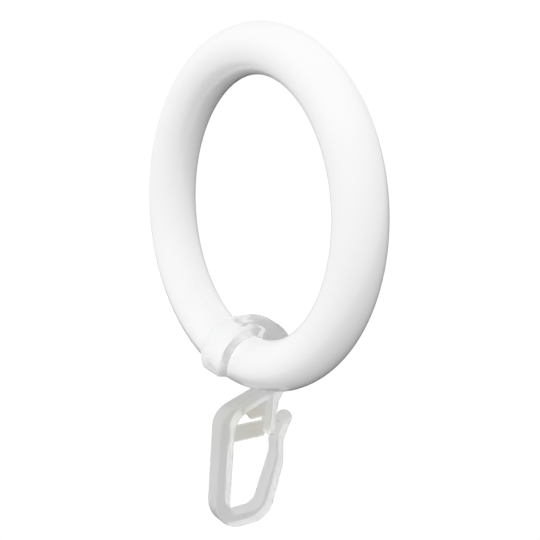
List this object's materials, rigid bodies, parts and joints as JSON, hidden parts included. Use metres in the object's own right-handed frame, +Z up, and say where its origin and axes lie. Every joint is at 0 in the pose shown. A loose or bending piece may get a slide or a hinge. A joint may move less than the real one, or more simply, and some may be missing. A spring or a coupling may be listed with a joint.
{
  "type": "curtain ring",
  "caption": "White round-section curtain ring with a clear clip-on pleat hook that snaps over its tube and slides round it.",
  "frame": {"origin": "centre of the ring's hole, on the ring's axis", "axes": "+Y along the ring's axis and so along the rod, +Z up, +X in the ring's plane; the hook hangs at -Z"},
  "size_m": [0.05, 0.0156, 0.074],
  "materials": {
    "white_plastic": "glossy",
    "clear_plastic": "clear, glossy"
  },
  "bodies": {
    "ring": {"ring": "white_plastic"},
    "clip": {"clip_hook": "clear_plastic"}
  },
  "joints": [
    {"name": "clip_travel", "type": "hinge", "parent": "ring", "child": "clip", "pos_m": [0, 0, 0], "axis": [0, 1, 0], "continuous": true}
  ]
}
